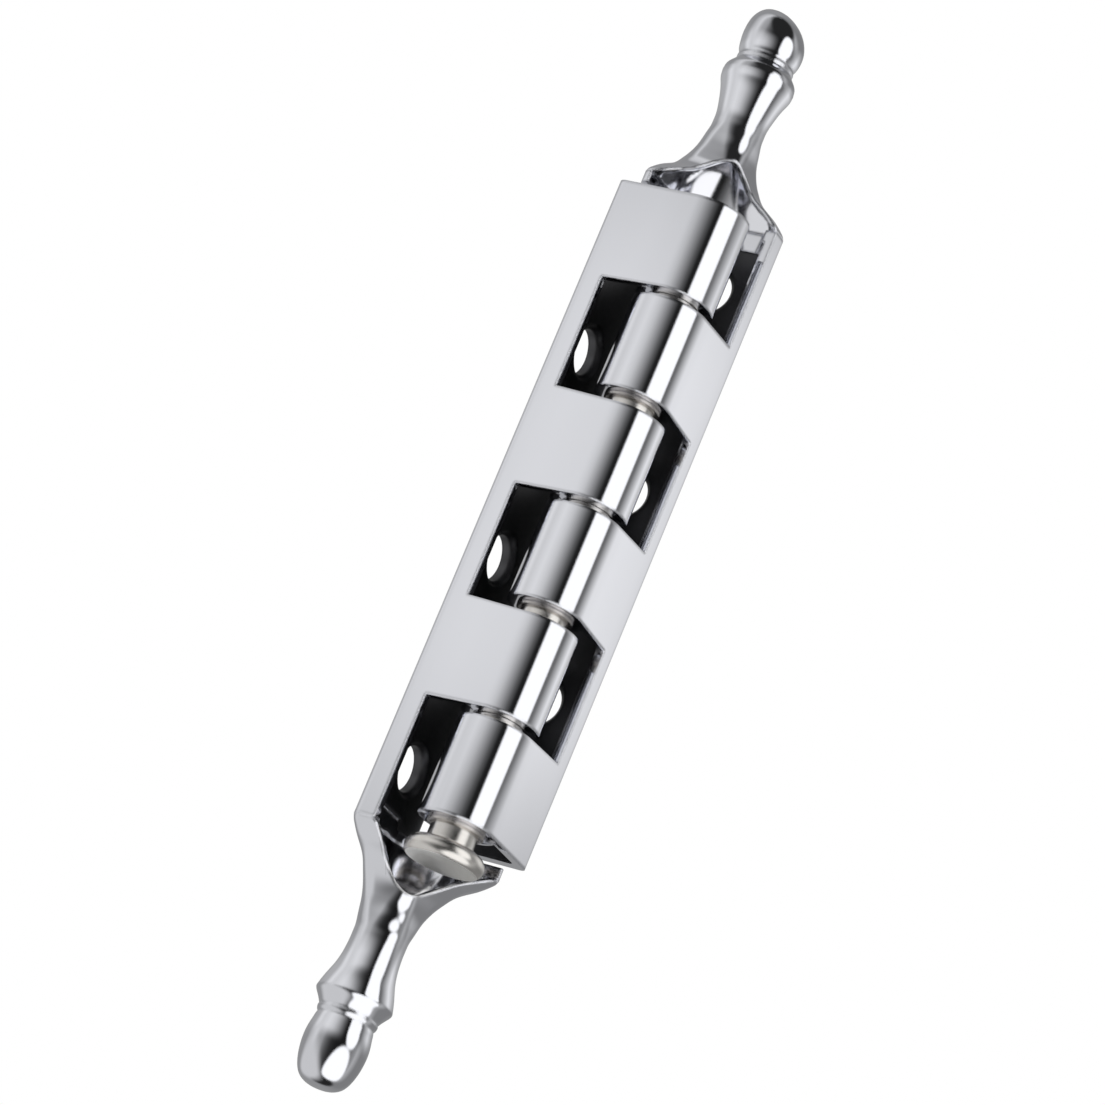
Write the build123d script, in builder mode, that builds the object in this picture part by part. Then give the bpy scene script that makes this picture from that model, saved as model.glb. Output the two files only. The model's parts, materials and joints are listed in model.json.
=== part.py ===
"""Decorative screw-on hinge with finials.

Two castings of one pattern face each other about a flanged-bush knuckle joint on one
pin. Each casting has three knuckles, a flat front arm, a screw plate with three
countersunk holes, and at one end a hollow flare that holds the end of the pin and runs
out into a turned finial. Only the length of the finials differs, as they are turned by
hand.

Millimetres. The pin's axis is along Z. In the closed position the frame leaf shows its
front to -Y and its screw plate to -X, the door leaf shows its front to +X and its screw
plate to +Y. The pieces are modelled about the middle of the pin's axis, and are all
moved at the end so that the origin lies on the face of the frame leaf's screw plate,
level with the middle of the hinge and straight behind the pin.
"""
import os
from math import sqrt

from build123d import *

os.makedirs("parts", exist_ok=True)

# Knuckle joint
knuckle_radius = 4.15
knuckle_length = 10.6
plain_gap = 0.9
bush_gap = 1.6
pitch = 2 * knuckle_length + plain_gap + bush_gap
body_end = plain_gap / 2 + knuckle_length + pitch
knuckle_starts = [-body_end, -body_end + pitch, -body_end + 2 * pitch]
bore_radius = 2.6

# Pin
pin_radius = 2.48
head_start = 36.85
pin_low_end = -body_end - 0.2
pin_chamfer = 0.3
# Radius of the head and height above its underside
head_profile = [(3.3, 0), (3.9, 0.35), (4.2, 0.9), (4.2, 1.15), (4.0, 1.75), (3.65, 2.05)]

# Flanged bushes
bush_radius = 2.8
bush_length = 5.0
flange_radius = 3.0
flange_thickness = 0.4
running_clearance = 0.03

# Section of a leaf
arm_thickness = 1.0
plate_thickness = 1.5
wood_distance = 9.4
plate_reach = 7.3
corner_radius = 1.0
inner_corner_radius = 0.4
strip_width = 2.7
panel_draft = 0.035

# Screw holes
hole_inset = 5.65
hole_radius = 2.42
sink_radius = 2.9
hole_heights = [start + (knuckle_length + pitch) / 2 for start in knuckle_starts]

# Flare at the finial end
collar_radius = 4.0
far_wall_inset = 1.42
far_wall_thickness = 1.1
flare_start = 37.0
opening_overlap = 0.2
arch_depth = 1.4
tip_corner = 0.5
tip_heel = 0.8
trough_start = body_end + 0.95
far_plane = wood_distance - far_wall_inset
square_side = far_plane + knuckle_radius
finial_x = collar_radius - far_plane
finial_y = wood_distance - collar_radius
diagonal = sqrt(2)
flare_corner_radius = 1.0
trough_corner_radius = 1.0
trough_back_radius = 5.0

# Finial
neck_height = 47.0
neck_radius = 2.8
corner_arc = 80
ball_radius = 3.37
ball_height = 57.3
ball_end = 61.5
finial_stretches = {"door": 1.09, "frame": 0.935}


def finial_plane(height):
    """Level plane on the finial's axis: x runs to the leaf's outer corner, y to its back edge."""
    return Plane(origin=(finial_x, finial_y, height), x_dir=(1, 1, 0), z_dir=(0, 0, 1))


def flare_section(height, side, corner_depth, front, back, rounding, back_rounding):
    """Rounded four-cornered section of the flare, by the reach of its corners from the axis."""
    with BuildSketch(finial_plane(height)) as section:
        with BuildLine():
            Polyline((side, -corner_depth), (0, back), (-side, -corner_depth), (0, -front), close=True)
        make_face()
        fillet(section.vertices().sort_by(Axis.Y)[:-1], radius=rounding)
        fillet(section.vertices().sort_by(Axis.Y)[-1], radius=back_rounding)
    return section.sketch


def neck_section(height, radius):
    """Round section of the neck, in one arc for each corner and each side of the sections below it."""
    with BuildSketch(finial_plane(height)) as section:
        with BuildLine():
            for corner in (0, 90, 180, 270):
                CenterArc((0, 0), radius, corner - corner_arc / 2, corner_arc)
                CenterArc((0, 0), radius, corner + corner_arc / 2, 90 - corner_arc)
        make_face()
    return section.sketch


def finial_profile(stretch):
    """Half section of a finial above the neck, with its heights stretched from the neck."""
    def at(radius, height):
        return (radius, neck_height + (height - neck_height) * stretch)

    with BuildSketch(Plane(origin=(finial_x, finial_y, 0), x_dir=(1, 0, 0), z_dir=(0, -1, 0))) as profile:
        with BuildLine():
            Line(at(0, neck_height), at(neck_radius, neck_height))
            Spline(at(neck_radius, neck_height), at(3.02, 49.2), at(3.72, 51.7), tangents=[(0, 1), (0.4, 0.9)])
            Polyline(at(3.72, 51.7), at(collar_radius, 52.6), at(3.92, 53.0), at(3.1, 54.1),
                     at(3.16, 54.6), at(2.9, 55.1))
            Spline(at(2.9, 55.1), at(ball_radius, ball_height), at(0, ball_end), tangents=[(0.5, 0.9), (-1, 0)])
            Line(at(0, ball_end), at(0, neck_height))
        make_face()
    return profile.sketch


# Reach of the square tube's corners from the finial's axis
side_reach = square_side / diagonal
back_reach = collar_radius * diagonal
corner_step = side_reach - back_reach
front_reach = side_reach + corner_step

# Height, side reach, depth of the side corners, front reach, back reach and the roundings
outer_sections = [
    (flare_start, side_reach, corner_step, front_reach, back_reach, flare_corner_radius, flare_corner_radius),
    (37.4, 8.42, 2.86, 10.9, 5.64, 1.0, 1.0),
    (37.9, 8.05, 2.65, 9.7, 5.6, 1.05, 1.05),
    (38.5, 7.5, 2.35, 8.4, 5.52, 1.1, 1.1),
    (39.8, 6.05, 1.4, 5.6, 5.25, 1.3, 1.3),
    (41.2, 5.2, 0.8, 4.3, 4.95, 1.5, 1.5),
    (43.2, 4.35, 0.3, 3.85, 4.4, 1.9, 1.9),
    (45.2, 4.0, 0.05, 3.9, 4.05, 2.5, 2.5),
]
neck_sections = [(46.2, 2.85), (neck_height, neck_radius)]

# Reach of the hollow's corners
hollow_side = side_reach - (plate_thickness + far_wall_thickness) / diagonal
hollow_back = back_reach - (plate_thickness + far_wall_thickness) / diagonal
hollow_step = hollow_side - hollow_back
inner_sections = [
    (flare_start, hollow_side, hollow_step, hollow_side + hollow_step, hollow_back,
     trough_corner_radius, trough_back_radius),
    (39.0, 5.6, 1.6, 5.6, 3.6, 1.1, 4.0),
    (41.2, 3.6, 0.7, 2.7, 3.3, 1.1, 2.6),
    (43.6, 2.2, 0.2, 1.9, 2.2, 1.0, 1.4),
]

# Space under the arch: through the front of the flare, but not into its walls beside and behind
arch_plane = Plane(origin=(finial_x, finial_y, 0), x_dir=(1, 1, 0), z_dir=(1, -1, 0))
with BuildPart() as arch_opening:
    with BuildSketch(arch_plane.offset(arch_depth)):
        with BuildLine():
            Spline((-7.8, 37.1), (-5.2, 38.6), (-2.6, 40.6), (0, 42.1), (2.6, 40.6), (5.2, 38.35), (6.67, 37.3))
            Polyline((6.67, 37.3), (6.67, flare_start), (-7.8, flare_start), (-7.8, 37.1))
        make_face()
    extrude(amount=12)
    with BuildSketch(Plane.XY.offset(flare_start - 1)):
        with Locations((-far_plane + far_wall_thickness, wood_distance - plate_thickness)):
            Rectangle(2 * square_side, 2 * square_side, align=(Align.MIN, Align.MAX))
    extrude(amount=neck_height - flare_start, mode=Mode.INTERSECT)

# Leaf casting, without its finial
with BuildPart() as casting:
    # Strip and screw plate, one angle along the whole leaf
    with BuildSketch(Plane.XY.offset(-body_end)) as angle:
        with BuildLine():
            Polyline(
                (knuckle_radius, wood_distance - strip_width),
                (knuckle_radius, wood_distance),
                (-plate_reach, wood_distance),
                (-plate_reach, wood_distance - plate_thickness),
                (knuckle_radius - arm_thickness, wood_distance - plate_thickness),
                (knuckle_radius - arm_thickness, wood_distance - strip_width),
                close=True,
            )
        make_face()
        outer = angle.vertices().filter_by_position(Axis.X, knuckle_radius - 0.01, knuckle_radius + 0.01)
        fillet(outer.sort_by(Axis.Y)[-1], radius=corner_radius)
        inner = angle.vertices().filter_by_position(Axis.Y, wood_distance - plate_thickness - 0.01,
                                                    wood_distance - plate_thickness + 0.01)
        fillet(inner.sort_by(Axis.X)[-1], radius=inner_corner_radius)
    extrude(amount=body_end + flare_start)

    # Front arm panels, a little wider towards the strip
    with BuildSketch(Plane.YZ.offset(knuckle_radius - arm_thickness)):
        for start in knuckle_starts:
            spread = panel_draft * (wood_distance - corner_radius)
            with BuildLine():
                Polyline(
                    (0, start),
                    (wood_distance - corner_radius, start - (0 if start == knuckle_starts[0] else spread)),
                    (wood_distance - corner_radius, start + knuckle_length + spread),
                    (0, start + knuckle_length),
                    close=True,
                )
            make_face()
    extrude(amount=arm_thickness)

    # Knuckles
    for start in knuckle_starts:
        with BuildSketch(Plane.XY.offset(start)):
            Circle(knuckle_radius)
        extrude(amount=knuckle_length)

    # Square end of the trough and its flare
    square_end = flare_section(trough_start, *outer_sections[0][1:])
    extrude(square_end, amount=flare_start - trough_start)
    loft([flare_section(*values) for values in outer_sections] + [neck_section(*values) for values in neck_sections])

    # Hollow of the trough
    hollow_height = flare_start - trough_start + 1
    square_hollow = flare_section(flare_start, *inner_sections[0][1:])
    extrude(square_hollow, amount=-hollow_height, mode=Mode.SUBTRACT)
    loft([flare_section(*values) for values in inner_sections], mode=Mode.SUBTRACT)

    # Open front of the trough, square at the bottom and arched above
    with BuildSketch(Plane.XY.offset(trough_start - 0.01)):
        with Locations((-far_plane + far_wall_thickness, -far_plane)):
            Rectangle(2 * far_plane, wood_distance - strip_width + far_plane, align=(Align.MIN, Align.MIN))
    extrude(amount=flare_start - trough_start + opening_overlap, mode=Mode.SUBTRACT)
    add(arch_opening.part, mode=Mode.SUBTRACT)

    # Rounded tip of the trough's far wall
    with BuildSketch(Plane.XY.offset(trough_start - 0.01)):
        with Locations((-far_plane + far_wall_thickness, knuckle_radius - square_side)):
            Rectangle(tip_corner, tip_corner, align=(Align.MAX, Align.MIN))
        with Locations((-far_plane + far_wall_thickness - tip_corner, knuckle_radius - square_side + tip_corner)):
            Circle(tip_corner, mode=Mode.SUBTRACT)
    extrude(amount=flare_start - trough_start, mode=Mode.SUBTRACT)
    with BuildSketch(Plane.YZ.offset(-far_plane - 1)):
        with Locations((knuckle_radius - square_side, trough_start)):
            Rectangle(tip_heel, tip_heel, align=(Align.MIN, Align.MIN))
        with Locations((knuckle_radius - square_side + tip_heel, trough_start + tip_heel)):
            Circle(tip_heel, mode=Mode.SUBTRACT)
    extrude(amount=far_wall_thickness + 2, mode=Mode.SUBTRACT)

    # Bores and bush seats in the knuckles
    for start in knuckle_starts:
        with BuildSketch(Plane.XY.offset(start)):
            Circle(bore_radius)
        extrude(amount=knuckle_length, mode=Mode.SUBTRACT)
        with BuildSketch(Plane.XY.offset(start)):
            Circle(bush_radius)
        extrude(amount=bush_length, mode=Mode.SUBTRACT)

    # Screw holes, countersunk from the inside of the leaf
    hole_places = [
        Plane(
            origin=(knuckle_radius - hole_inset, wood_distance - plate_thickness, height),
            x_dir=(1, 0, 0), z_dir=(0, -1, 0),
        )
        for height in hole_heights
    ]
    with Locations(*hole_places):
        CounterSinkHole(hole_radius, sink_radius, depth=plate_thickness + 0.5, counter_sink_angle=90)

# Turned finials on both leaves
finial_axis = Axis((finial_x, finial_y, 0), (0, 0, 1))
with BuildPart() as door_leaf:
    add(casting.part)
    revolve(finial_profile(finial_stretches["door"]), axis=finial_axis)
with BuildPart() as upright_frame_leaf:
    add(casting.part)
    revolve(finial_profile(finial_stretches["frame"]), axis=finial_axis)

# The frame leaf is turned end for end about the hinge's depth
turn_axis = Axis((0, 0, 0), (-1, 1, 0))
with BuildPart() as frame_leaf:
    add(upright_frame_leaf.part.rotate(turn_axis, 180))

# Pin with a mushroom head at the top
with BuildPart() as hinge_pin:
    with BuildSketch(Plane.XZ):
        with BuildLine():
            Polyline(
                (0, pin_low_end),
                (pin_radius - pin_chamfer, pin_low_end),
                (pin_radius, pin_low_end + pin_chamfer),
                (pin_radius, head_start),
                *[(radius, head_start + height) for radius, height in head_profile],
                (0, head_start + head_profile[-1][1]),
                close=True,
            )
        make_face()
    revolve(axis=Axis.Z)

# Flanged bushes: the door leaf's run on the pin, the frame leaf's hold it
bushes = {}
for leaf, seats, way, bore in (
    ("door", knuckle_starts, 1, pin_radius + running_clearance),
    ("frame", [-start for start in knuckle_starts][::-1], -1, pin_radius),
):
    for level, seat in zip(("lower", "middle", "upper"), seats):
        with BuildPart() as bush:
            with BuildSketch(Plane.XY.offset(seat)):
                Circle(bush_radius)
                Circle(bore, mode=Mode.SUBTRACT)
            extrude(amount=way * bush_length)
            with BuildSketch(Plane.XY.offset(seat)):
                Circle(flange_radius)
                Circle(bore, mode=Mode.SUBTRACT)
            extrude(amount=-way * flange_thickness)
        bushes[f"{leaf}_bush_{level}"] = bush

pieces = {"frame_leaf": frame_leaf, "door_leaf": door_leaf, "hinge_pin": hinge_pin, **bushes}
for name, piece in pieces.items():
    piece.part.locate(Location((wood_distance, 0, 0)))
    piece.part.label = name
    export_step(piece.part, f"parts/{name}.step")
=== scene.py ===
import json
from math import cos, pi, radians, sin

import bmesh
import bpy
import numpy as np
from mathutils import Matrix, Vector


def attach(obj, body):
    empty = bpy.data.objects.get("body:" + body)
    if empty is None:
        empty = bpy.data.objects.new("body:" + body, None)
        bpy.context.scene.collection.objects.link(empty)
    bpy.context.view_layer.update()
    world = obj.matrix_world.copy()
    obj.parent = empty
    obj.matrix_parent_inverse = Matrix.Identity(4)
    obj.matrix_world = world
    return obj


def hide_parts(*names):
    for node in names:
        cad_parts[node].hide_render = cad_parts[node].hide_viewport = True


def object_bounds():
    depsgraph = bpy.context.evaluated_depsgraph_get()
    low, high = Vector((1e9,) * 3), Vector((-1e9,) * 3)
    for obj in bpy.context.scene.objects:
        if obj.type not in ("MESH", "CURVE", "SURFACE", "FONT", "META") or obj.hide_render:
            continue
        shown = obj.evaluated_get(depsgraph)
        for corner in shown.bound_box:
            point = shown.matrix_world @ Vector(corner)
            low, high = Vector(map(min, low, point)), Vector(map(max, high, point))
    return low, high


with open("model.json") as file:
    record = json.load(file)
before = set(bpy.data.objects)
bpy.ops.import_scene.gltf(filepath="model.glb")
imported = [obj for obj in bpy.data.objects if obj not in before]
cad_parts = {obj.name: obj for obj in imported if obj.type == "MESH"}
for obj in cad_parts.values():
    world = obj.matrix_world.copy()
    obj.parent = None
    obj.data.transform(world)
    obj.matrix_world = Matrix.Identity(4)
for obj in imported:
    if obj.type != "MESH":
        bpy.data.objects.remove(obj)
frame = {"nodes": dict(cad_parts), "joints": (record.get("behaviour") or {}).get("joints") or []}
cad_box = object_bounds()
mm = 0.001


# Viewpoint
# The hinge is seen from the side of its knuckles, a little from above the pin's head, through a
# long lens. The camera is turned almost upside down, so that the head is at the lower left.
hinge_centre = Vector(frame["joints"][0]["pos_m"])
view_azimuth = radians(60.13)
view_elevation = radians(16.5)
view_roll = radians(180 - 22.65)
view_distance = 546.84 * mm
view_shift_right = 1.68 * mm
view_shift_up = 4.78 * mm
sensor_width = 36.0
focal_length = 178.156
view_limit = 100

backwards = Vector((sin(view_azimuth) * cos(view_elevation), -cos(view_azimuth) * cos(view_elevation),
                    sin(view_elevation)))
level_right = Vector((cos(view_azimuth), sin(view_azimuth), 0))
level_up = backwards.cross(level_right)
camera_right = level_right * cos(view_roll) - level_up * sin(view_roll)
camera_up = level_right * sin(view_roll) + level_up * cos(view_roll)
camera_data = bpy.data.cameras.new("camera")
camera_data.lens = focal_length
camera_data.sensor_width = sensor_width
camera_data.clip_end = view_limit
camera = bpy.data.objects.new("camera", camera_data)
bpy.context.scene.collection.objects.link(camera)
camera.matrix_world = Matrix.Translation(
    hinge_centre + backwards * view_distance + level_right * view_shift_right + level_up * view_shift_up
) @ Matrix((camera_right, camera_up, backwards)).transposed().to_4x4()
bpy.context.scene.camera = camera


# Leaves
# Each leaf is one zinc casting, ground and polished all over and then chrome plated. Its edges
# are softened by the polishing wheel, and its shine is that of a mirror with a faint haze.
edge_width = 0.5 * mm


def metal(name, colour, roughness, streak_scale, streak_depth):
    """Polished or turned metal, given by its colour and roughness.

    Fine noise, stretched by streak_scale, adds up to streak_depth to the roughness. Edges are
    rounded in the shading over edge_width.
    """
    material = bpy.data.materials.new(name)
    material.use_nodes = True
    nodes, links = material.node_tree.nodes, material.node_tree.links
    shader = nodes["Principled BSDF"]
    shader.inputs["Metallic"].default_value = 1.0
    shader.inputs["Base Color"].default_value = (*colour, 1)
    place = nodes.new("ShaderNodeTexCoord")
    stretch = nodes.new("ShaderNodeMapping")
    stretch.inputs["Scale"].default_value = streak_scale
    streaks = nodes.new("ShaderNodeTexNoise")
    streaks.inputs["Scale"].default_value = 900
    streaks.inputs["Detail"].default_value = 3
    spread = nodes.new("ShaderNodeMapRange")
    spread.inputs["To Min"].default_value = roughness
    spread.inputs["To Max"].default_value = roughness + streak_depth
    links.new(place.outputs["Object"], stretch.inputs["Vector"])
    links.new(stretch.outputs["Vector"], streaks.inputs["Vector"])
    links.new(streaks.outputs["Fac"], spread.inputs["Value"])
    links.new(spread.outputs["Result"], shader.inputs["Roughness"])
    softened = nodes.new("ShaderNodeBevel")
    softened.samples = 6
    softened.inputs["Radius"].default_value = edge_width
    links.new(softened.outputs["Normal"], shader.inputs["Normal"])
    return material


chrome = metal("chrome_plate", (0.864, 0.873, 0.916), 0.02, (1, 1, 1), 0.03)
# Inside the flare's hollow the chrome is rougher, and its colour a little darker: painted shade in the
# hollow.
shaded_hollow_chrome = metal("hollow_plate_shaded", (0.834, 0.841, 0.88), 0.07, (1, 1, 1), 0.04)
# Near-black, rough metal on the backs of the arm and the screw plate and in the holes: painted shade
# inside the casting.
painted_shade_chrome = metal("inner_painted_shade", (0.10, 0.10, 0.105), 0.3, (1, 1, 0.2), 0.2)

# Places in a leaf's own directions: x out of its front, y out of its screw plate, z to its finial
front_plane, wood_plane = 4.15 * mm, 9.4 * mm
arm_inside = front_plane - 1.0 * mm
plate_inside = wood_plane - 1.5 * mm
holes_low_x, holes_high_x = -5 * mm, 2 * mm
trough_start, flare_start = 35.7 * mm, 37.0 * mm
face_gap = 0.05 * mm
squareness = 0.9
merge_gap = 0.0005 * mm
flat_angle, crease_angle = radians(0.3), radians(28)


def leaf_place(point, turned):
    """A point in a leaf's own directions: for the turned leaf (-y, -x, -z), else as it is."""
    across, along, height = point[0] - hinge_centre[0], point[1], point[2]
    return (-along, -across, -height) if turned else (across, along, height)


def painted_shade_index(face, turned):
    """Material number of a face: 1, the near-black painted shade, on the back of the arm and the plate
    and in the holes, else 0.

    A face is on a wall when its middle lies in the wall's plane and its normal looks inwards.
    """
    x, y, z = leaf_place(face.calc_center_bounds(), turned)
    out = Vector(leaf_place(face.normal + Vector((hinge_centre[0], 0, 0)), turned))
    on_plate = abs(y - plate_inside) < 6 * face_gap and out[1] < -squareness
    on_arm = abs(x - arm_inside) < face_gap and out[0] < -squareness
    in_hole = plate_inside + face_gap < y < wood_plane - face_gap and holes_low_x < x < holes_high_x
    return 1 if z < trough_start and (on_plate or on_arm or in_hole) else 0


def polished_copy(node, name, turned):
    """A copy of a casting up to its flare, with its triangles merged into whole flats.

    It is cut square at the start of the flare, where the flare's own piece goes on. An edge is a
    crease where the faces beside it turn by more than the crease angle.
    """
    mesh = frame["nodes"][node].data.copy()
    piece = bpy.data.objects.new(name, mesh)
    bpy.context.scene.collection.objects.link(piece)
    mesh.materials.clear()
    for finish in (chrome, painted_shade_chrome):
        mesh.materials.append(finish)
    work = bmesh.new()
    work.from_mesh(mesh)
    bmesh.ops.remove_doubles(work, verts=work.verts, dist=merge_gap)
    way = -1 if turned else 1
    bmesh.ops.bisect_plane(work, geom=work.verts[:] + work.edges[:] + work.faces[:], dist=2 * merge_gap,
                           plane_co=(0, 0, way * flare_start), plane_no=(0, 0, way), clear_outer=True)
    cut_rim = [edge for edge in work.edges if edge.is_boundary]
    bmesh.ops.holes_fill(work, edges=cut_rim, sides=0)
    bmesh.ops.dissolve_limit(work, angle_limit=flat_angle, verts=work.verts, edges=work.edges)
    work.normal_update()
    for face in work.faces:
        face.smooth = True
        face.material_index = painted_shade_index(face, turned)
    for edge in work.edges:
        edge.smooth = edge.calc_face_angle(0) < crease_angle
    work.to_mesh(mesh)
    work.free()
    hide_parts(node)
    return piece


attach(polished_copy("frame_leaf", "frame_casting", True), "frame_side")
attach(polished_copy("door_leaf", "door_casting", False), "door_side")


# Flares and finials
# The end of each leaf's casting: a square tube that sweeps in to a round neck, cored out and open
# to the front in an arch, then a turned trumpet, collar, thin bead and egg-shaped ball. The turned
# part is finished by hand, so the one by the pin's head is longer.
def smooth_curve(points, start, end, count):
    """Cubic spline through the points, as count points evenly spaced along it.

    Each span is a cubic of its end points and end slopes. The slopes are those that bend evenly
    across every inner point and follow the given directions at the ends.
    """
    points = np.array(points, dtype=float)
    gaps = np.linalg.norm(np.diff(points, axis=0), axis=1)
    inner = np.arange(1, len(points) - 1)
    system = np.eye(len(points))
    system[inner, inner - 1] = gaps[1:]
    system[inner, inner] = 2 * (gaps[:-1] + gaps[1:])
    system[inner, inner + 1] = gaps[:-1]
    chords = np.diff(points, axis=0) / gaps[:, None]
    known = np.zeros_like(points)
    known[0] = np.array(start) / np.linalg.norm(start)
    known[-1] = np.array(end) / np.linalg.norm(end)
    known[1:-1] = 3 * (gaps[1:, None] * chords[:-1] + gaps[:-1, None] * chords[1:])
    slopes = np.linalg.solve(system, known)
    place = np.linspace(0, gaps.sum(), count)
    part = np.clip(np.searchsorted(gaps.cumsum(), place), 0, len(gaps) - 1)
    gap = gaps[part][:, None]
    t = (place[:, None] - (gaps.cumsum() - gaps)[part][:, None]) / gap
    return ((1 + 2 * t) * (1 - t) ** 2 * points[part] + t * (1 - t) ** 2 * gap * slopes[part]
            + t * t * (3 - 2 * t) * points[part + 1] - t * t * (1 - t) * gap * slopes[part + 1])


def turned_points(outline, around):
    """Surface of revolution: radius and height of the outline against a turn in even steps.

    x = radius * cos(turn), y = radius * sin(turn), z = height.
    """
    turn = np.linspace(0, 2 * pi, around, endpoint=False)[None, :]
    radius, height = outline[:, 0][:, None], outline[:, 1][:, None]
    return np.stack([radius * np.cos(turn), radius * np.sin(turn), height + 0 * turn], axis=-1)


def wrapped_mesh(name, points, second_rows):
    """Mesh over a grid of points that closes round in its second direction, its poles merged.

    Four neighbours on the grid make a face. The first rows of faces take the second finish.
    """
    rows, columns = points.shape[:2]
    column, row = np.meshgrid(np.arange(columns), np.arange(rows - 1))
    beside = (column + 1) % columns
    faces = np.stack([row * columns + column, row * columns + beside,
                      (row + 1) * columns + beside, (row + 1) * columns + column], axis=-1)
    mesh = bpy.data.meshes.new(name)
    mesh.from_pydata((points.reshape(-1, 3) * mm).tolist(), [], faces.reshape(-1, 4).tolist())
    mesh.polygons.foreach_set("material_index", (row < second_rows).astype(np.int32).ravel())
    work = bmesh.new()
    work.from_mesh(mesh)
    bmesh.ops.remove_doubles(work, verts=work.verts, dist=merge_gap)
    bmesh.ops.recalc_face_normals(work, faces=work.faces)
    work.to_mesh(mesh)
    work.free()
    mesh.polygons.foreach_set("use_smooth", np.ones(len(mesh.polygons), dtype=bool))
    mesh.set_sharp_from_angle(angle=crease_angle)
    return mesh


def turned_piece(name, points, finishes, body, second_rows=0):
    """A piece from a grid of points in millimetres, moved by the place of the pin's axis."""
    points = points + np.array([hinge_centre[0] / mm, 0, 0])
    piece = bpy.data.objects.new(name, wrapped_mesh(name, points, second_rows))
    bpy.context.scene.collection.objects.link(piece)
    for finish in finishes:
        piece.data.materials.append(finish)
    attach(piece, body)
    return piece


# Radius and height in millimetres along each curve of the two turned ends
door_collar = [(2.8, 47.0), (2.81, 47.9), (2.93, 49.3), (3.2, 50.6), (3.6, 51.8), (3.9, 52.8),
               (4.02, 53.3)]
door_hollow = [(4.02, 53.42), (3.74, 53.9), (3.36, 54.45), (3.1, 54.9)]
door_bead = [(3.1, 54.92), (3.17, 55.25), (2.96, 55.62)]
door_ball = [(2.96, 55.66), (3.12, 56.35), (3.29, 57.3), (3.35, 58.5), (3.2, 59.9), (2.86, 61.15),
             (2.3, 62.1), (1.3, 62.67), (0, 62.8)]
frame_collar = [(2.8, 47.0), (2.84, 47.9), (3.04, 49.0), (3.3, 50.1), (3.66, 51.2), (3.9, 51.95),
                (3.95, 52.45)]
frame_hollow = [(3.95, 52.5), (3.88, 52.98), (3.6, 53.45), (3.2, 53.95), (3.02, 54.2)]
frame_bead = [(3.02, 54.22), (3.12, 54.5), (2.98, 54.8)]
frame_ball = [(2.98, 54.83), (3.2, 55.3), (3.37, 56.1), (3.41, 56.9), (3.28, 57.8), (2.9, 58.8),
              (2.3, 59.6), (1.3, 60.3), (0, 60.5)]
ball_lean, lean_start, lean_rise = 0.9, 56, 4.5
neck_height, neck_slope = 47.0, -0.027
collar_points, hollow_points, bead_points, ball_points = 40, 22, 10, 60


def finial_outline(collar, hollow, bead, ball):
    """Outline of a finial from the neck up: four splines end to end, with a crease between them."""
    return np.concatenate([smooth_curve(collar, (neck_slope, 1), (0.2, 1), collar_points)[1:],
                           smooth_curve(hollow, (-0.3, 1), (-0.5, 0.8), hollow_points),
                           smooth_curve(bead, (0.9, 0.5), (-0.9, 0.5), bead_points),
                           smooth_curve(ball, (0.4, 0.9), (-1, 0), ball_points)])


# The finial's axis, and the sections about it: height; reach of the side corners, their depth
# before the axis, reach of the front and back corners; roundings of the front, side, back corners
finial_x, finial_y = -3.98 * mm, 5.4 * mm
flare_sections = np.array([
    (37.0, 8.577, 2.92, 11.5, 5.657, 0.5, 1.0, 1.0),
    (37.4, 8.42, 2.86, 10.9, 5.64, 0.5, 1.0, 1.0),
    (37.9, 8.05, 2.65, 9.7, 5.6, 0.6, 1.05, 1.05),
    (38.5, 7.5, 2.35, 8.4, 5.52, 0.8, 1.1, 1.1),
    (39.8, 6.05, 1.4, 5.6, 5.25, 1.2, 1.3, 1.3),
    (41.2, 5.2, 0.8, 4.3, 4.95, 1.6, 1.5, 1.5),
    (43.2, 4.35, 0.3, 3.85, 4.4, 2.2, 1.9, 1.9),
    (45.2, 4.08, 0.05, 3.95, 4.08, 2.6, 2.5, 2.5),
    (46.2, 3.99, 0.0, 3.99, 3.99, 2.82, 2.82, 2.82),
    (47.0, 3.96, 0.0, 3.96, 3.96, 2.8, 2.8, 2.8),
])
# The hollow: walls in front of and behind the square tube, its roundings and its lean to the front
front_wall, back_wall, least_wall = 1.0, 1.3, 0.7
hollow_rounds = (0.6, 5.4, 0.6, 0.6)
hollow_lean = 0.2
# The arched rim: sideways place and height, its turns to left and right, and its rounded lip
arch_points = [(-7.8, 37.02), (-5.2, 38.6), (-2.6, 40.6), (0, 42.1), (2.6, 40.6), (5.2, 38.35),
               (6.67, 37.02)]
arch_left, arch_right = radians(-158), radians(-22)
arch_columns, wall_columns, halvings = 150, 150, 40
hollow_top, dome_start, lip_radius, lip_fade = 44.8, 43.4, 0.12, 0.4
hollow_rows, outside_rows, lip_rows = 60, 70, 4


def sizes_at(height):
    """The section's sizes at each height: cubics through the table, with slopes from its differences."""
    known, table = flare_sections[:, 0], flare_sections[:, 1:]
    slopes = np.gradient(table, known, axis=0)
    part = np.clip(np.searchsorted(known, height) - 1, 0, len(known) - 2)
    gap = (known[part + 1] - known[part])[..., None]
    t = (height[..., None] - known[part][..., None]) / gap
    found = ((1 + 2 * t) * (1 - t) ** 2 * table[part] + t * (1 - t) ** 2 * gap * slopes[part]
             + t * t * (3 - 2 * t) * table[part + 1] - t * t * (1 - t) * gap * slopes[part + 1])
    return np.moveaxis(found, -1, 0)


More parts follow.
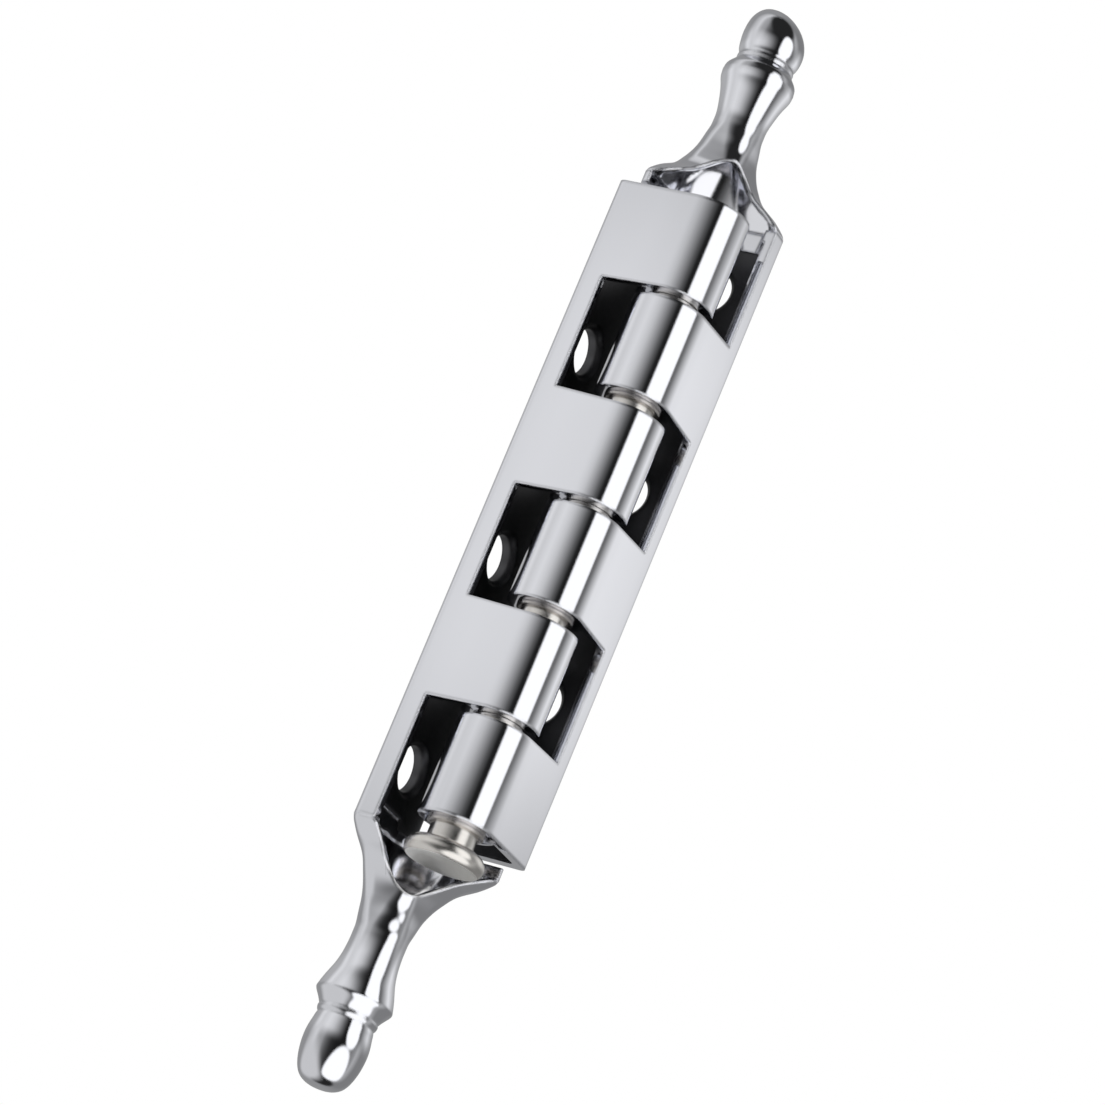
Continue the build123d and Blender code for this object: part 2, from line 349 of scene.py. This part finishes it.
def corner_reach(turn, sizes, walls, rounds):
    """Distance from the axis to a four-cornered section with round corners, in the direction e of a turn.

    Each face is a line n.p = d, less its wall, met at d / (n.e). Within a rounded corner of radius r
    about c the distance is e.c + sqrt(r^2 - |c|^2 + (e.c)^2).
    """
    side, depth, front, back = sizes
    front_length, back_length = np.hypot(front - depth, side), np.hypot(back + depth, side)
    front_gap = front * side / front_length - walls[0]
    back_gap = back * side / back_length - walls[1]
    front_x, front_y = (front - depth) / front_length, -side / front_length
    back_x, back_y = (back + depth) / back_length, side / back_length
    faces = [(front_x, front_y, front_gap), (back_x, back_y, back_gap),
             (-back_x, back_y, back_gap), (-front_x, front_y, front_gap)]
    east, north = np.cos(turn), np.sin(turn)
    facing = np.stack([x * east + y * north for x, y, gap in faces])
    gaps = np.stack([gap + 0 * east for x, y, gap in faces])
    least = 1e-6
    reach = np.where(facing > least, gaps / np.maximum(facing, least), np.inf).min(axis=0)
    for number, radius in enumerate(rounds):
        x1, y1, gap1 = faces[number]
        x2, y2, gap2 = faces[(number + 1) % 4]
        span = x1 * y2 - y1 * x2
        centre_x = ((gap1 - radius) * y2 - (gap2 - radius) * y1) / span
        centre_y = (x1 * (gap2 - radius) - x2 * (gap1 - radius)) / span
        before = (centre_x + radius * x1) * north - (centre_y + radius * y1) * east
        after = east * (centre_y + radius * y2) - north * (centre_x + radius * x2)
        along = east * centre_x + north * centre_y
        curved = along + np.sqrt(np.maximum(radius ** 2 - centre_x ** 2 - centre_y ** 2 + along ** 2, 0))
        reach = np.where((before >= 0) & (after >= 0) & (curved > 0), curved, reach)
    return reach


def outer_reach(turn, height):
    """Reach of the outside at a height: the table's section with its own roundings, no wall off it."""
    *sizes, front_round, side_round, back_round = sizes_at(height)
    return corner_reach(turn, sizes, (0, 0), (side_round, back_round, side_round, front_round))


def hollow_reach(turn, height):
    """Reach of the hollow: the square tube's inside, leaning forwards with height.

    It never comes nearer to the outside than the least wall.
    """
    sizes = sizes_at(flare_start / mm + 0 * height)[:4]
    lean = hollow_lean * (height - flare_start / mm) / 2 ** 0.5
    straight = corner_reach(turn, sizes, (front_wall, back_wall + lean), hollow_rounds)
    return np.minimum(straight, outer_reach(turn, height) - least_wall)


def flare_points():
    """Hollow, rim and outside of the flare on one grid, from the hollow's top down, then up to the neck.

    A column starts on the rim, whose arch is a spline of sideways place and height. Its turn there is
    found by halving, so that reach * cos(turn) is the sideways place. Above, it blends to an even turn.
    A point is reach * cos(turn), reach * sin(turn) about the finial's axis, turned by 45 degrees.
    """
    arch = smooth_curve(arch_points, (1, 0.6), (1, -0.9), arch_columns)
    low, high = np.full(arch_columns, arch_left), np.full(arch_columns, arch_right)
    for step in range(halvings):
        middle = (low + high) / 2
        too_far = outer_reach(middle, arch[:, 1]) * np.cos(middle) > arch[:, 0]
        low, high = np.where(too_far, low, middle), np.where(too_far, middle, high)
    wall = np.linspace(high[-1], high[0] + 2 * pi, wall_columns + 2)[1:-1]
    rim_turn = np.concatenate([high, wall])[None, :]
    even_turn = np.concatenate([np.linspace(high[0], high[-1], arch_columns), wall])[None, :]
    rim_height = np.concatenate([arch[:, 1], np.full(wall_columns, flare_start / mm)])[None, :]
    lip = lip_radius * np.clip((rim_height - flare_start / mm) / lip_fade, 0, 1)

    def grid(steps, top, hollow):
        """Wall from the rim to the top: rim and even turn mixed by a smooth step, reach by height."""
        height = rim_height + lip + (top - rim_height - lip) * steps[:, None]
        blend = steps[:, None] ** 2 * (3 - 2 * steps[:, None])
        turn = rim_turn + (even_turn - rim_turn) * blend
        reach = hollow_reach(turn, height) if hollow else outer_reach(turn, height)
        if hollow:
            dome = np.clip((height - dome_start) / (hollow_top - dome_start), 0, 1)
            reach = reach * np.sqrt(1 - dome ** 2)
        return np.stack([reach * np.cos(turn), reach * np.sin(turn), height], axis=-1)

    inside = grid(np.sin(np.linspace(1, 0, hollow_rows) * pi / 2), hollow_top, True)
    outside = grid(np.linspace(0, 1, outside_rows), neck_height, False)
    around = np.linspace(0, pi / 2, lip_rows + 1)[1:, None, None]
    inner_rim, outer_rim = inside[-1][None], outside[0][None]
    across = outer_rim - inner_rim
    across = across / np.linalg.norm(across, axis=-1, keepdims=True)
    down = np.array([0, 0, 1.0])
    reach_in = lip[..., None]
    inner_lip = inner_rim + across * reach_in * (1 - np.cos(around)) - down * reach_in * np.sin(around)
    outer_lip = outer_rim - across * reach_in * (1 - np.cos(around)) - down * reach_in * np.sin(around)
    local = np.concatenate([inside, inner_lip, outer_lip[::-1], outside])
    x = finial_x / mm + (local[..., 0] - local[..., 1]) / 2 ** 0.5
    y = np.minimum(finial_y / mm + (local[..., 0] + local[..., 1]) / 2 ** 0.5, wood_plane / mm)
    turn = np.arctan2(y[-1] - finial_y / mm, x[-1] - finial_x / mm)
    return np.stack([x, y, local[..., 2]], axis=-1), turn


flare, neck_turn = flare_points()
for leaf, curves in (("door", (door_collar, door_hollow, door_bead, door_ball)),
                     ("frame", (frame_collar, frame_hollow, frame_bead, frame_ball))):
    outline = finial_outline(*curves)
    finial = np.stack([finial_x / mm + outline[:, :1] * np.cos(neck_turn),
                       finial_y / mm + outline[:, :1] * np.sin(neck_turn),
                       outline[:, 1:] + 0 * neck_turn], axis=-1)
    points = np.concatenate([flare, finial])
    if leaf == "frame":
        # Turned end for end: x and y change places and signs, and the ball leans as it was ground
        lean = ball_lean * np.clip((points[..., 2] - lean_start) / lean_rise, 0, None) ** 2
        points = -points[..., [1, 0, 2]]
        points[..., 0] += lean * cos(view_azimuth)
        points[..., 1] += lean * sin(view_azimuth)
    piece = turned_piece(f"{leaf}_finial", points, (chrome, shaded_hollow_chrome),
                         f"{leaf}_side", hollow_rows - 1)
    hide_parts(f"{leaf}_leaf")


# Pin
# One turned steel pin with a round mushroom head, nickel plated and tumbled rather than
# polished. It shows at its head and in the gaps between the knuckles.
nickel = metal("nickel_plate", (0.80, 0.775, 0.74), 0.2, (1, 1, 0.1), 0.08)
# The pin's domed end is rougher, and its colour lighter than the nickel's: painted light on the end face.
lightened_pin_face = metal("turned_face_lightened", (0.93, 0.92, 0.88), 0.4, (1, 1, 1), 0.1)
pin_radius, pin_foot, foot_bevel, head_seat = 2.48, -34.95, 0.3, 36.85
head_points, end_points, pin_columns = 36, 20, 120
# Radius and height: foot and shank, the head's round edge, the head's slightly domed end
pin_outline = np.concatenate([
    [(0, pin_foot), (pin_radius - foot_bevel, pin_foot), (pin_radius, pin_foot + foot_bevel),
     (pin_radius, head_seat - 0.01), (pin_radius + 0.08, head_seat)],
    smooth_curve([(3.15, head_seat), (3.72, 37.05), (4.1, 37.5), (4.2, 38.0), (4.08, 38.5), (3.84, 38.8)],
                 (1, 0), (-0.5, 0.6), head_points),
    smooth_curve([(3.8, 38.83), (2.0, 38.9), (0, 38.92)], (-1, 0.05), (-1, 0), end_points)])
piece = turned_piece("mushroom_pin", turned_points(pin_outline, pin_columns), (lightened_pin_face, nickel),
                     "frame_side", len(pin_outline) - end_points)
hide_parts("hinge_pin")


# Bushes
# Six turned rings with a thin flange, pressed into one end of each knuckle. The flanges run
# against each other in every second gap.
bush_metal = metal("bush_metal", (0.66, 0.63, 0.60), 0.2, (1, 1, 0.1), 0.1)
bush_radius, flange_radius, flange_thickness, bush_length = 2.8, 3.0, 0.4, 5.0
rim_bevel, running_gap, bush_columns = 0.08, 0.03, 96
body_end, pitch = 34.75, 23.7
for leaf, way, bore in (("door", 1, pin_radius + running_gap), ("frame", -1, pin_radius)):
    # Radius and height from the seat: the flange with a bevelled rim, then the body and the bore
    bush_outline = np.array([(bore, -flange_thickness), (flange_radius - rim_bevel, -flange_thickness),
                             (flange_radius - rim_bevel / 4, rim_bevel / 4 - flange_thickness),
                             (flange_radius, rim_bevel - flange_thickness), (flange_radius, 0),
                             (bush_radius, 0), (bush_radius, bush_length), (bore, bush_length),
                             (bore, -flange_thickness)])
    for number, level in enumerate(("lower", "middle", "upper")):
        seat = -body_end + pitch * number if leaf == "door" else body_end - pitch * (2 - number)
        ring = turned_points(bush_outline * (1, way) + (0, seat), bush_columns)
        piece = turned_piece(f"{leaf}_ring_{level}", ring, (bush_metal,), f"{leaf}_side")
        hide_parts(f"{leaf}_bush_{level}")


# Studio
# A pale floor under the hinge, a white surround, and a light tent with dark flags that only
# the polished metal sees.
def plain_nodes(owner):
    """An empty node tree to fill."""
    owner.use_nodes = True
    owner.node_tree.nodes.clear()
    return owner.node_tree.nodes, owner.node_tree.links


floor_level = cad_box[0][2] - 60 * mm
floor_reach = 6.0
floor_mesh = bpy.data.meshes.new("floor")
corners = [(-1, -1), (1, -1), (1, 1), (-1, 1)]
floor_mesh.from_pydata([(x * floor_reach, y * floor_reach, floor_level) for x, y in corners], [],
                       [(0, 1, 2, 3)])
floor = bpy.data.objects.new("floor", floor_mesh)
bpy.context.scene.collection.objects.link(floor)
floor_paint = bpy.data.materials.new("floor_paint")
nodes, links = plain_nodes(floor_paint)
output = nodes.new("ShaderNodeOutputMaterial")
matt = nodes.new("ShaderNodeBsdfDiffuse")
matt.inputs["Color"].default_value = (0.85, 0.85, 0.85, 1)
glow = nodes.new("ShaderNodeEmission")
glow.inputs["Color"].default_value = (1, 1, 1, 1)
glow.inputs["Strength"].default_value = 1.0
seen = nodes.new("ShaderNodeLightPath")
pick = nodes.new("ShaderNodeMixShader")
links.new(seen.outputs["Is Camera Ray"], pick.inputs["Fac"])
links.new(matt.outputs["BSDF"], pick.inputs[1])
links.new(glow.outputs["Emission"], pick.inputs[2])
links.new(pick.outputs["Shader"], output.inputs["Surface"])
floor_mesh.materials.append(floor_paint)

# Azimuth in degrees, 0 towards -Y and 90 towards +X, and the tent's brightness there: in the
# band that the flats and knuckles show, and above and below it, which the finials show
band_levels = np.array([
    (-180, 0.46), (-120, 0.44), (-84, 0.52), (-57, 0.86), (-38, 0.46), (-22, 0.16), (36, 0.012),
    (48, 0.015), (61, 0.12), (73, 0.28), (84, 0.44), (95, 0.6), (107, 0.7), (120, 0.78), (147, 0.66),
    (163, 0.8), (180, 0.46)])
end_levels = np.array([
    (-180, 0.3), (-120, 0.3), (-80, 0.22), (-46, 0.22), (-24, 0.45), (-16, 0.3), (36, 0.012),
    (60, 0.012), (66, 0.015), (80, 0.03), (90, 0.07), (98, 0.12), (106, 0.2), (113, 0.33),
    (130, 0.42), (144, 0.7), (164, 0.5), (180, 0.3)])
band_middle, band_half_height, band_blend = -16.7, 18.0, 24.0
dark, grey, white = 0.02, 0.62, 1.15
tent_radius = 170 * mm
tent_columns, tent_rows, steepest = 240, 120, 89.5
azimuth = np.linspace(-180, 180, tent_columns, endpoint=False)[None, :]
elevation = np.linspace(-steepest, steepest, tent_rows)[:, None]


def soft_step(value, edge, width):
    """Rises from 0 to 1 as a value passes an edge: 3 t^2 - 2 t^3, with t from 0 to 1 over the width."""
    t = np.clip((value - edge) / width + 0.5, 0, 1)
    return t * t * (3 - 2 * t)


def soft_box(azimuth_centre, elevation_centre, half_width, half_height, blur):
    """Light panel with round corners and soft edges: across^2.5 + upright^2.5 = 1 in the two angles."""
    across = np.abs(azimuth - azimuth_centre) / half_width
    upright = np.abs(elevation - elevation_centre) / half_height
    return 1 - soft_step((across ** 2.5 + upright ** 2.5) ** 0.4, 1, blur)


def round_patch(azimuth_centre, elevation_centre, half_angle, blur):
    """Round patch of the tent: all directions within an angle of its middle, soft at its edge.

    The angle's cosine is sin * sin of the elevations plus cos * cos of them times that of the turn.
    """
    here, there = np.radians(elevation), radians(elevation_centre)
    turn = np.radians(azimuth - azimuth_centre)
    cosine = np.sin(here) * sin(there) + np.cos(here) * cos(there) * np.cos(turn)
    return 1 - soft_step(np.degrees(np.arccos(np.clip(cosine, -1, 1))), half_angle, blur)


def blend_towards(levels, target, amount):
    """Moves the brightness towards a target by the given share."""
    return levels * (1 - amount) + target * amount


in_band = 1 - soft_step(np.abs(elevation - band_middle), band_half_height, band_blend)
levels = blend_towards(np.interp(azimuth, *end_levels.T), np.interp(azimuth, *band_levels.T), in_band)
for level, patch in ((dark, round_patch(-120, 82, 19, 8)), (grey, round_patch(150, 50, 34, 20)),
                     (dark, round_patch(40, -68, 26, 10)), (white, soft_box(12, -20, 25, 34, 0.12)),
                     (white, round_patch(26, 46, 33, 5))):
    levels = blend_towards(levels, level, patch)

east = np.radians(azimuth)
rise = np.radians(elevation)
tent_points = np.stack([hinge_centre[0] + tent_radius * np.sin(east) * np.cos(rise),
                        -tent_radius * np.cos(east) * np.cos(rise),
                        tent_radius * np.sin(rise) + 0 * east], axis=-1)
column, row = np.meshgrid(np.arange(tent_columns), np.arange(tent_rows - 1))
beside = (column + 1) % tent_columns
tent_faces = np.stack([row * tent_columns + column, row * tent_columns + beside,
                       (row + 1) * tent_columns + beside, (row + 1) * tent_columns + column], axis=-1)
tent_mesh = bpy.data.meshes.new("light_tent")
tent_mesh.from_pydata(tent_points.reshape(-1, 3).tolist(), [], tent_faces.reshape(-1, 4).tolist())
brightness = tent_mesh.attributes.new("brightness", "FLOAT", "POINT")
brightness.data.foreach_set("value", levels.astype(np.float32).ravel())
tent = bpy.data.objects.new("light_tent", tent_mesh)
bpy.context.scene.collection.objects.link(tent)
tent_cloth = bpy.data.materials.new("tent_cloth")
nodes, links = plain_nodes(tent_cloth)
output = nodes.new("ShaderNodeOutputMaterial")
glow = nodes.new("ShaderNodeEmission")
painted = nodes.new("ShaderNodeAttribute")
painted.attribute_name = "brightness"
links.new(painted.outputs["Fac"], glow.inputs["Strength"])
links.new(glow.outputs["Emission"], output.inputs["Surface"])
tent_mesh.materials.append(tent_cloth)
tent.visible_camera = False
tent.visible_diffuse = False
tent.visible_shadow = False
tent.visible_transmission = False
floor.visible_glossy = False

world = bpy.data.worlds.new("white_room")
bpy.context.scene.world = world
nodes, links = plain_nodes(world)
output = nodes.new("ShaderNodeOutputWorld")
light = nodes.new("ShaderNodeBackground")
light.inputs["Color"].default_value = (1, 1, 1, 1)
light.inputs["Strength"].default_value = 0.9
links.new(light.outputs["Background"], output.inputs["Surface"])
bpy.context.scene.view_settings.view_transform = "Standard"
